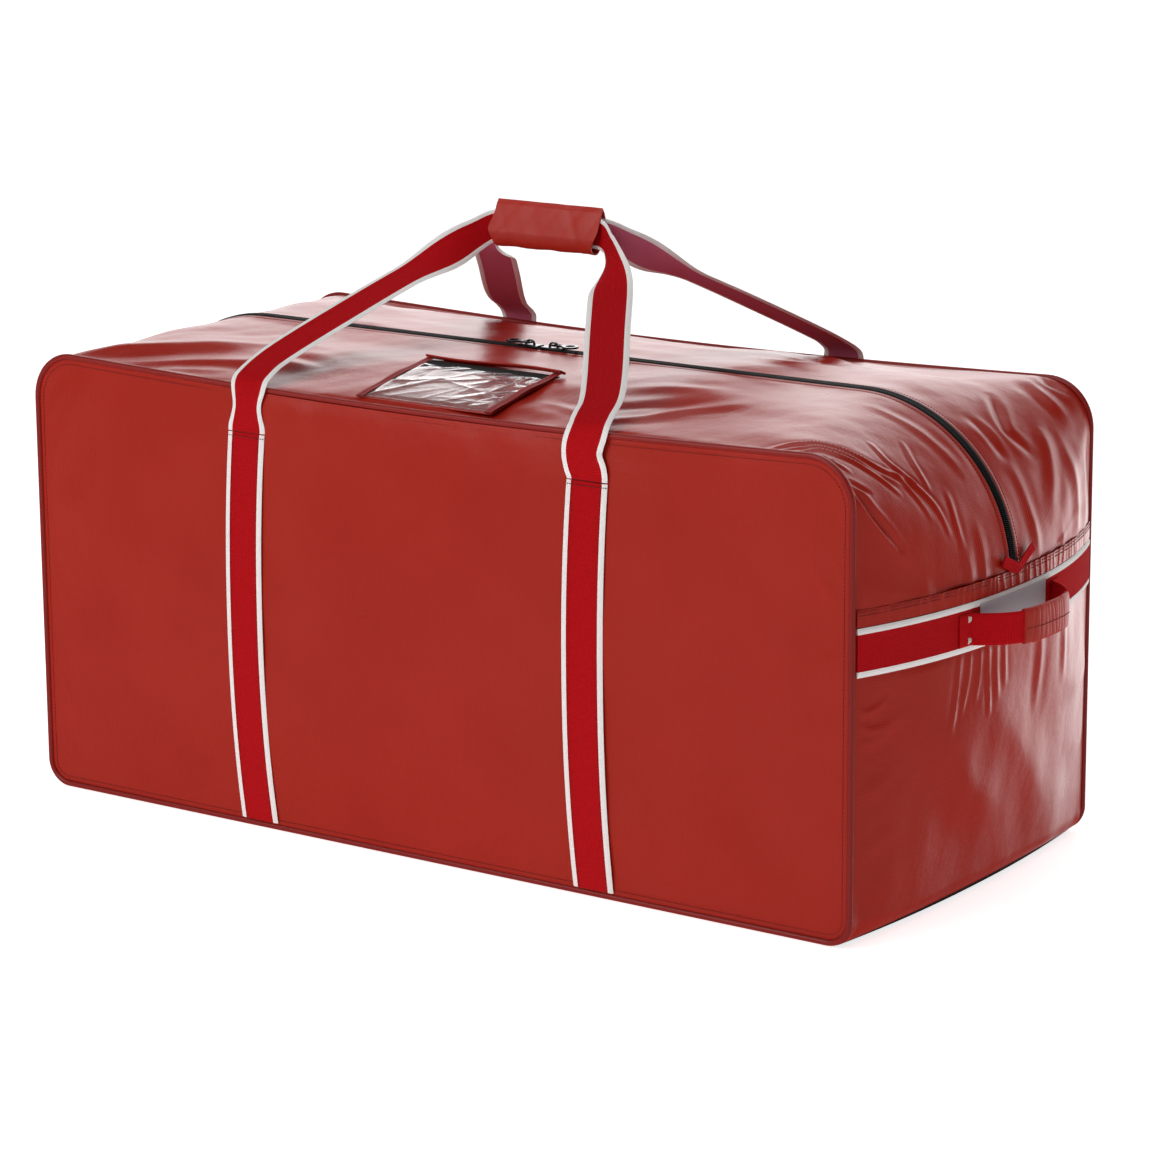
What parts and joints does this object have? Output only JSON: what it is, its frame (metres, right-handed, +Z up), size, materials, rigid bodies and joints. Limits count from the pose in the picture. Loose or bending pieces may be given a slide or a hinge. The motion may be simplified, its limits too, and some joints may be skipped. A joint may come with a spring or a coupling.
{
  "type": "hockey equipment bag",
  "caption": "Large soft box of coated fabric with a zip along its crown, carry loops joined in a wrapped grip, a grab handle on each end and a clear card pocket.",
  "frame": {"origin": "centre of the bag's footprint, on the surface it stands on", "axes": "+X along the bag, +Y from the front panel to the rear panel, +Z up"},
  "size_m": [1.1884, 0.5058, 0.6485],
  "materials": {
    "coated_fabric": "glossy PVC coating over a fine woven scrim",
    "piping": "semi-gloss coated piping",
    "base_fabric": "matte heavy coated fabric",
    "board": "plain stiff board",
    "webbing": "matte woven webbing with white edges",
    "zip": "dark nylon coil",
    "slider_metal": "black lacquered metal",
    "pale_fabric": "pale grey lining cloth",
    "clear_window": "clear soft vinyl",
    "hook_strip": "black hook-and-loop strip",
    "binding": "red woven binding tape"
  },
  "bodies": {
    "bag": {"front_panel": "coated_fabric", "front_piping": "piping", "rear_panel": "coated_fabric", "rear_piping": "piping", "base_panel": "base_fabric", "base_board": "board", "left_end_panel": "coated_fabric", "right_end_panel": "coated_fabric", "front_left_corner_panel": "coated_fabric", "front_left_zip_half": "zip", "rear_left_corner_panel": "coated_fabric", "rear_left_zip_half": "zip", "front_right_corner_panel": "coated_fabric", "front_right_zip_half": "zip", "rear_right_corner_panel": "coated_fabric", "rear_right_zip_half": "zip", "left_zip_end_tab": "webbing", "left_seam_facing": "coated_fabric", "left_end_band": "webbing", "left_grab_backing": "pale_fabric", "left_grab_front_root": "webbing", "left_grab_rear_root": "webbing", "right_zip_end_tab": "webbing", "right_seam_facing": "coated_fabric", "right_end_band": "webbing", "right_grab_backing": "pale_fabric", "right_grab_front_root": "webbing", "right_grab_rear_root": "webbing", "front_left_webbing": "webbing", "front_right_webbing": "webbing", "rear_left_webbing": "webbing", "rear_right_webbing": "webbing"},
    "front_flap": {"front_top_flap": "coated_fabric", "front_flap_zip_half": "zip", "pocket_backing": "coated_fabric", "pocket_window": "clear_window", "pocket_hook_strip": "hook_strip", "pocket_left_binding": "binding", "pocket_right_binding": "binding"},
    "rear_flap": {"rear_top_flap": "coated_fabric", "rear_flap_zip_half": "zip"},
    "left_slider": {"left_slider": "slider_metal"},
    "right_slider": {"right_slider": "slider_metal"},
    "left_pull": {"left_slider_pull": "slider_metal"},
    "right_pull": {"right_slider_pull": "slider_metal"},
    "front_loop_root": {"front_left_tongue": "webbing", "front_right_tongue": "webbing"},
    "front_loop": {"front_carry_loop": "webbing", "grip_wrap": "coated_fabric"},
    "rear_loop_root": {"rear_left_tongue": "webbing", "rear_right_tongue": "webbing"},
    "rear_loop": {"rear_carry_loop": "webbing"},
    "left_grab": {"left_grab_strap": "webbing", "left_grab_sleeve": "coated_fabric"},
    "right_grab": {"right_grab_strap": "webbing", "right_grab_sleeve": "coated_fabric"}
  },
  "joints": [
    {"name": "left_slider_run", "type": "slide", "parent": "bag", "child": "left_slider", "axis": [-1, 0, 0], "range_m": [0, 0.308]},
    {"name": "right_slider_run", "type": "slide", "parent": "bag", "child": "right_slider", "axis": [1, 0, 0], "range_m": [0, 0.329]},
    {"name": "front_flap_fold", "type": "hinge", "parent": "bag", "child": "front_flap", "pos_m": [0, -0.231, 0.468], "axis": [1, 0, 0], "range_deg": [-80, 0]},
    {"name": "rear_flap_fold", "type": "hinge", "parent": "bag", "child": "rear_flap", "pos_m": [0, 0.231, 0.468], "axis": [1, 0, 0], "range_deg": [0, 80]},
    {"name": "left_pull_flip", "type": "hinge", "parent": "left_slider", "child": "left_pull", "pos_m": [-0.027, 0, 0.4998], "axis": [0, 1, 0], "range_deg": [0, 165]},
    {"name": "right_pull_flip", "type": "hinge", "parent": "right_slider", "child": "right_pull", "pos_m": [0.003, 0, 0.4998], "axis": [0, 1, 0], "range_deg": [-165, 0]},
    {"name": "front_loop_fold", "type": "hinge", "parent": "bag", "child": "front_loop_root", "pos_m": [0, -0.2424, 0.424], "axis": [1, 0, 0], "range_deg": [0, 172]},
    {"name": "front_loop_lean", "type": "hinge", "parent": "front_loop_root", "child": "front_loop", "pos_m": [0, -0.2369, 0.4786], "axis": [1, 0, 0], "range_deg": [0, 62]},
    {"name": "rear_loop_fold", "type": "hinge", "parent": "bag", "child": "rear_loop_root", "pos_m": [0, 0.2424, 0.424], "axis": [1, 0, 0], "range_deg": [-172, 0]},
    {"name": "rear_loop_lean", "type": "hinge", "parent": "rear_loop_root", "child": "rear_loop", "pos_m": [0, 0.2369, 0.4786], "axis": [1, 0, 0], "range_deg": [-62, 0]},
    {"name": "left_grab_swing", "type": "hinge", "parent": "bag", "child": "left_grab", "pos_m": [-0.55, 0, 0.29], "axis": [0, 1, 0], "range_deg": [-40, 40], "stiffness_Nm_per_rad": 0.5},
    {"name": "right_grab_swing", "type": "hinge", "parent": "bag", "child": "right_grab", "pos_m": [0.55, 0, 0.29], "axis": [0, 1, 0], "range_deg": [-40, 40], "stiffness_Nm_per_rad": 0.5}
  ],
  "couplings": [
    {"joint": "right_slider_run", "follows": "left_slider_run", "ratio": 1.0681},
    {"joint": "front_flap_fold", "follows": "left_slider_run", "rad_per_m": -4.5329},
    {"joint": "rear_flap_fold", "follows": "left_slider_run", "rad_per_m": 4.5329},
    {"joint": "front_loop_lean", "follows": "front_loop_fold", "ratio": 0.36046},
    {"joint": "rear_loop_lean", "follows": "rear_loop_fold", "ratio": 0.36046}
  ]
}
